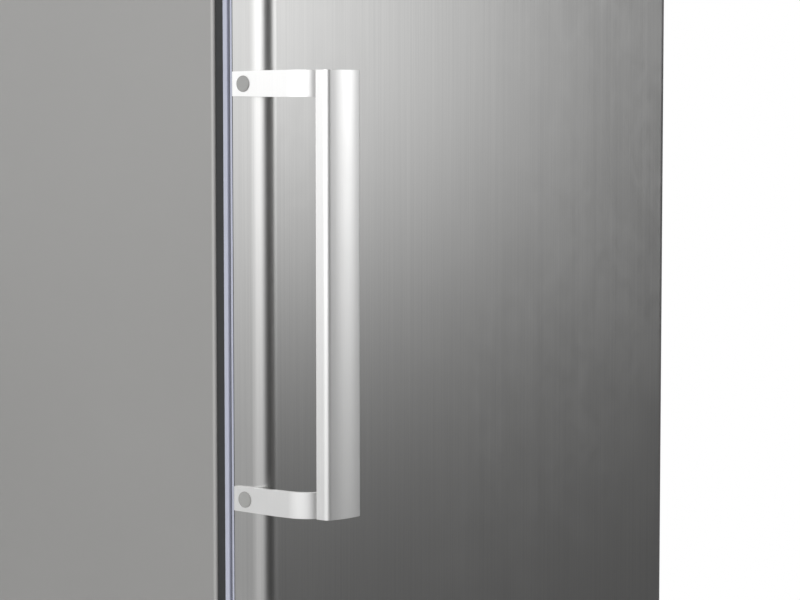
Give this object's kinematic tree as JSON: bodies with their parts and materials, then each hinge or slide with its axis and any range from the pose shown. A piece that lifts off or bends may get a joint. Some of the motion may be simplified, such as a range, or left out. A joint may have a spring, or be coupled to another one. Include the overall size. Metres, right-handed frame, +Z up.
{
  "type": "freestanding refrigerator",
  "caption": "Tall freestanding refrigerator with a brushed steel door, grooved door frame, bar handle on bent straps, glass shelves, drawers, door bins and a rear condenser.",
  "frame": {"origin": "bottom centre of the bounding box at rest, with the door closed", "axes": "+Z up, -Y out of the front of the door, +X to the right seen from the front"},
  "size_m": [0.599, 0.714, 1.862],
  "materials": {
    "cabinet_paint": "satin grey coat",
    "zinc_sheet": "galvanised, dull",
    "brushed_steel": "fine upright brushing",
    "frame_plastic": "pale bluish, semi-gloss",
    "gasket": "matte dark grey",
    "handle_aluminium": "satin anodised",
    "cap_grey": "matte",
    "white_plastic": "semi-gloss",
    "clear_plastic": "clear",
    "lens_plastic": "frosted",
    "glass": "clear",
    "foam": "rigid foam",
    "dark_plastic": "matte black",
    "black_steel": "black enamel",
    "copper": "copper tube",
    "steel_bracket": "zinc plated",
    "chrome_wire": "bright",
    "rubber_black": "matte",
    "evaporator_aluminium": "plain",
    "board_green": "printed board",
    "slider_green": "semi-gloss"
  },
  "bodies": {
    "cabinet": {"side_panel_left": "cabinet_paint", "side_panel_right": "cabinet_paint", "top_panel": "cap_grey", "rear_panel": "zinc_sheet", "insulation_foam": "foam", "inner_liner": "white_plastic", "base_pan": "zinc_sheet", "plinth": "dark_plastic", "shelf_glass": "glass", "crisper_cover": "glass", "shelf_trims": "white_plastic", "bottle_rack": "chrome_wire", "air_duct": "white_plastic", "fan_motor": "dark_plastic", "evaporator": "evaporator_aluminium", "control_housing": "white_plastic", "light_lens": "lens_plastic", "led_board": "board_green", "condenser_tube": "black_steel", "condenser_wires": "black_steel", "condenser_brackets": "white_plastic", "wall_spacers": "dark_plastic", "filter_drier": "copper", "suction_line": "copper", "compressor": "black_steel", "compressor_grommets": "rubber_black", "terminal_box": "dark_plastic", "drip_tray": "dark_plastic", "drain_tube": "white_plastic", "upper_hinge": "steel_bracket", "hinge_cover": "cap_grey", "lower_hinge": "steel_bracket", "cabinet_screws": "steel_bracket"},
    "door": {"door_skin": "brushed_steel", "door_foam": "foam", "door_frame": "frame_plastic", "door_liner": "white_plastic", "door_gasket": "gasket", "door_cap_top": "cap_grey", "door_cap_bottom": "cap_grey", "hinge_bushes": "white_plastic", "handle_bar": "handle_aluminium", "handle_strap_top": "handle_aluminium", "handle_strap_bottom": "handle_aluminium", "handle_caps": "cap_grey", "handle_screws": "steel_bracket"},
    "fan_rotor_body": {"fan_rotor": "dark_plastic"},
    "thermostat_knob_body": {"thermostat_knob": "cap_grey"},
    "roller_left_body": {"roller_left": "dark_plastic"},
    "roller_right_body": {"roller_right": "dark_plastic"},
    "foot_left_body": {"foot_left": "dark_plastic"},
    "foot_right_body": {"foot_right": "dark_plastic"},
    "bin_dairy_body": {"bin_dairy": "clear_plastic"},
    "dairy_lid_body": {"dairy_lid": "clear_plastic"},
    "bin_upper_body": {"bin_upper": "clear_plastic"},
    "bin_middle_body": {"bin_middle": "clear_plastic"},
    "bin_bottle_body": {"bin_bottle": "clear_plastic"},
    "fresh_drawer_body": {"fresh_drawer": "clear_plastic"},
    "crisper_drawer_body": {"crisper_drawer": "clear_plastic"},
    "humidity_slider_body": {"humidity_slider": "slider_green"}
  },
  "joints": [
    {"name": "door_hinge", "type": "hinge", "parent": "cabinet", "child": "door", "pos_m": [0.28695, -0.271, 0.052], "axis": [0, 0, 1], "range_deg": [0, 120]},
    {"name": "fresh_drawer_slide", "type": "slide", "parent": "cabinet", "child": "fresh_drawer_body", "axis": [0, -1, 0], "range_m": [0, 0.228]},
    {"name": "crisper_drawer_slide", "type": "slide", "parent": "cabinet", "child": "crisper_drawer_body", "axis": [0, -1, 0], "range_m": [0, 0.15]},
    {"name": "humidity_slide", "type": "slide", "parent": "crisper_drawer_body", "child": "humidity_slider_body", "axis": [1, 0, 0], "range_m": [-0.015, 0.015]},
    {"name": "bin_dairy_lift", "type": "slide", "parent": "door", "child": "bin_dairy_body", "axis": [0, 0, 1], "range_m": [0, 0.025]},
    {"name": "bin_upper_lift", "type": "slide", "parent": "door", "child": "bin_upper_body", "axis": [0, 0, 1], "range_m": [0, 0.025]},
    {"name": "bin_middle_lift", "type": "slide", "parent": "door", "child": "bin_middle_body", "axis": [0, 0, 1], "range_m": [0, 0.025]},
    {"name": "bin_bottle_lift", "type": "slide", "parent": "door", "child": "bin_bottle_body", "axis": [0, 0, 1], "range_m": [0, 0.025]},
    {"name": "dairy_lid_hinge", "type": "hinge", "parent": "bin_dairy_body", "child": "dairy_lid_body", "pos_m": [0.00195, -0.2462, 1.506], "axis": [1, 0, 0], "range_deg": [0, 85]},
    {"name": "thermostat_turn", "type": "hinge", "parent": "cabinet", "child": "thermostat_knob_body", "pos_m": [0.11195, -0.147, 1.754], "axis": [0, 1, 0], "range_deg": [0, 270]},
    {"name": "fan_spin", "type": "hinge", "parent": "cabinet", "child": "fan_rotor_body", "pos_m": [0.00195, 0.227, 1.32], "axis": [0, 1, 0], "continuous": true},
    {"name": "foot_left_turn", "type": "hinge", "parent": "cabinet", "child": "foot_left_body", "pos_m": [-0.24355, -0.183, 0], "axis": [0, 0, 1], "continuous": true},
    {"name": "roller_left_spin", "type": "hinge", "parent": "cabinet", "child": "roller_left_body", "pos_m": [-0.24755, 0.271, 0.013], "axis": [1, 0, 0], "continuous": true},
    {"name": "foot_right_turn", "type": "hinge", "parent": "cabinet", "child": "foot_right_body", "pos_m": [0.24745, -0.183, 0], "axis": [0, 0, 1], "continuous": true},
    {"name": "roller_right_spin", "type": "hinge", "parent": "cabinet", "child": "roller_right_body", "pos_m": [0.25145, 0.271, 0.013], "axis": [1, 0, 0], "continuous": true}
  ],
  "couplings": [
    {"joint": "fresh_drawer_slide", "follows": "door_hinge", "m_per_rad": 0.1088},
    {"joint": "crisper_drawer_slide", "follows": "door_hinge", "m_per_rad": 0.0716}
  ]
}
